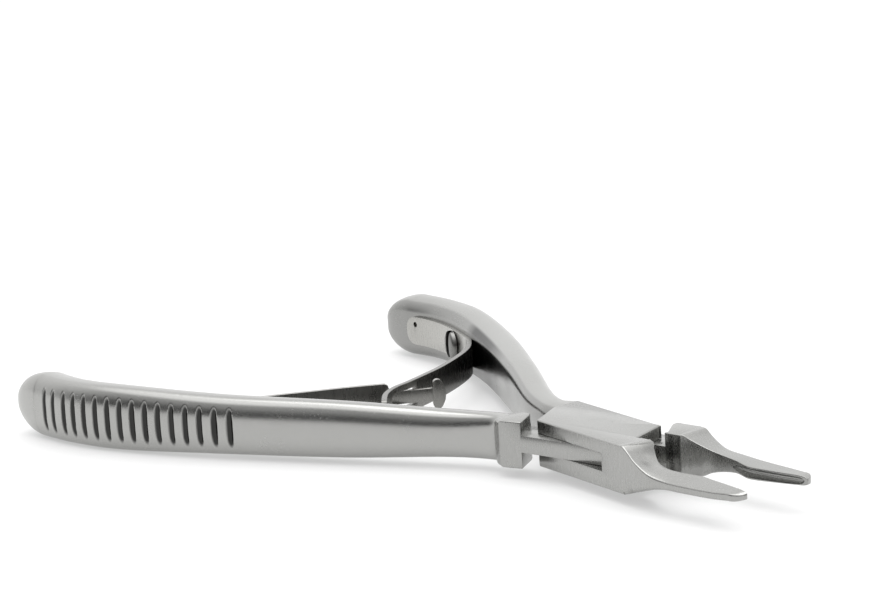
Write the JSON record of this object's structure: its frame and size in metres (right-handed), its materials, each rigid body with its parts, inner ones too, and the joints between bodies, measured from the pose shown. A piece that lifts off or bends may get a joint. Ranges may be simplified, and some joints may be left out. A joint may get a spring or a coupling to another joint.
{
  "type": "box-joint nippers",
  "caption": "Small stainless hand nippers with a box joint, slim cupped jaws, serrated bowed handles and two interlocking leaf springs that hold them open.",
  "frame": {"origin": "on the pivot axis, in the flat outer face of the lower cheek of the box", "axes": "+X along the tool's centre line, from the pivot to the jaws; +Y to the half with the slotted box's handle; +Z along the pivot, from the lower cheek to the upper cheek"},
  "size_m": [0.1334, 0.0784, 0.0099],
  "materials": {
    "half_steel": "satin, finely brushed across the box and the jaws",
    "pin_steel": "ground flush with the cheeks, satin",
    "spring_steel": "polished spring steel",
    "screw_steel": "turned, bright"
  },
  "bodies": {
    "slotted": {"slotted_half": "half_steel", "pivot_pin": "pin_steel", "far_spring_screw": "screw_steel"},
    "tongue": {"tongue_half": "half_steel", "near_spring_screw": "screw_steel"},
    "far_leaf": {"far_spring": "spring_steel"},
    "near_leaf": {"near_spring": "spring_steel"}
  },
  "joints": [
    {"name": "jaw_pivot", "type": "hinge", "parent": "slotted", "child": "tongue", "pos_m": [0, 0, 0.00345], "axis": [0, 0, -1], "range_deg": [0, 15.4], "stiffness_Nm_per_rad": 2.5, "springref_deg": -3.44},
    {"name": "far_leaf_flex", "type": "hinge", "parent": "slotted", "child": "far_leaf", "pos_m": [-0.0624, 0.0254, 0.00345], "axis": [0, 0, 1], "range_deg": [0, 17.8], "deforming": ["far_spring"]},
    {"name": "near_leaf_flex", "type": "hinge", "parent": "tongue", "child": "near_leaf", "pos_m": [-0.0624, -0.0254, 0.00345], "axis": [0, 0, -1], "range_deg": [0, 17.8], "deforming": ["near_spring"]}
  ],
  "couplings": [
    {"joint": "far_leaf_flex", "follows": "jaw_pivot", "ratio": 1.15},
    {"joint": "near_leaf_flex", "follows": "jaw_pivot", "ratio": 1.15}
  ]
}
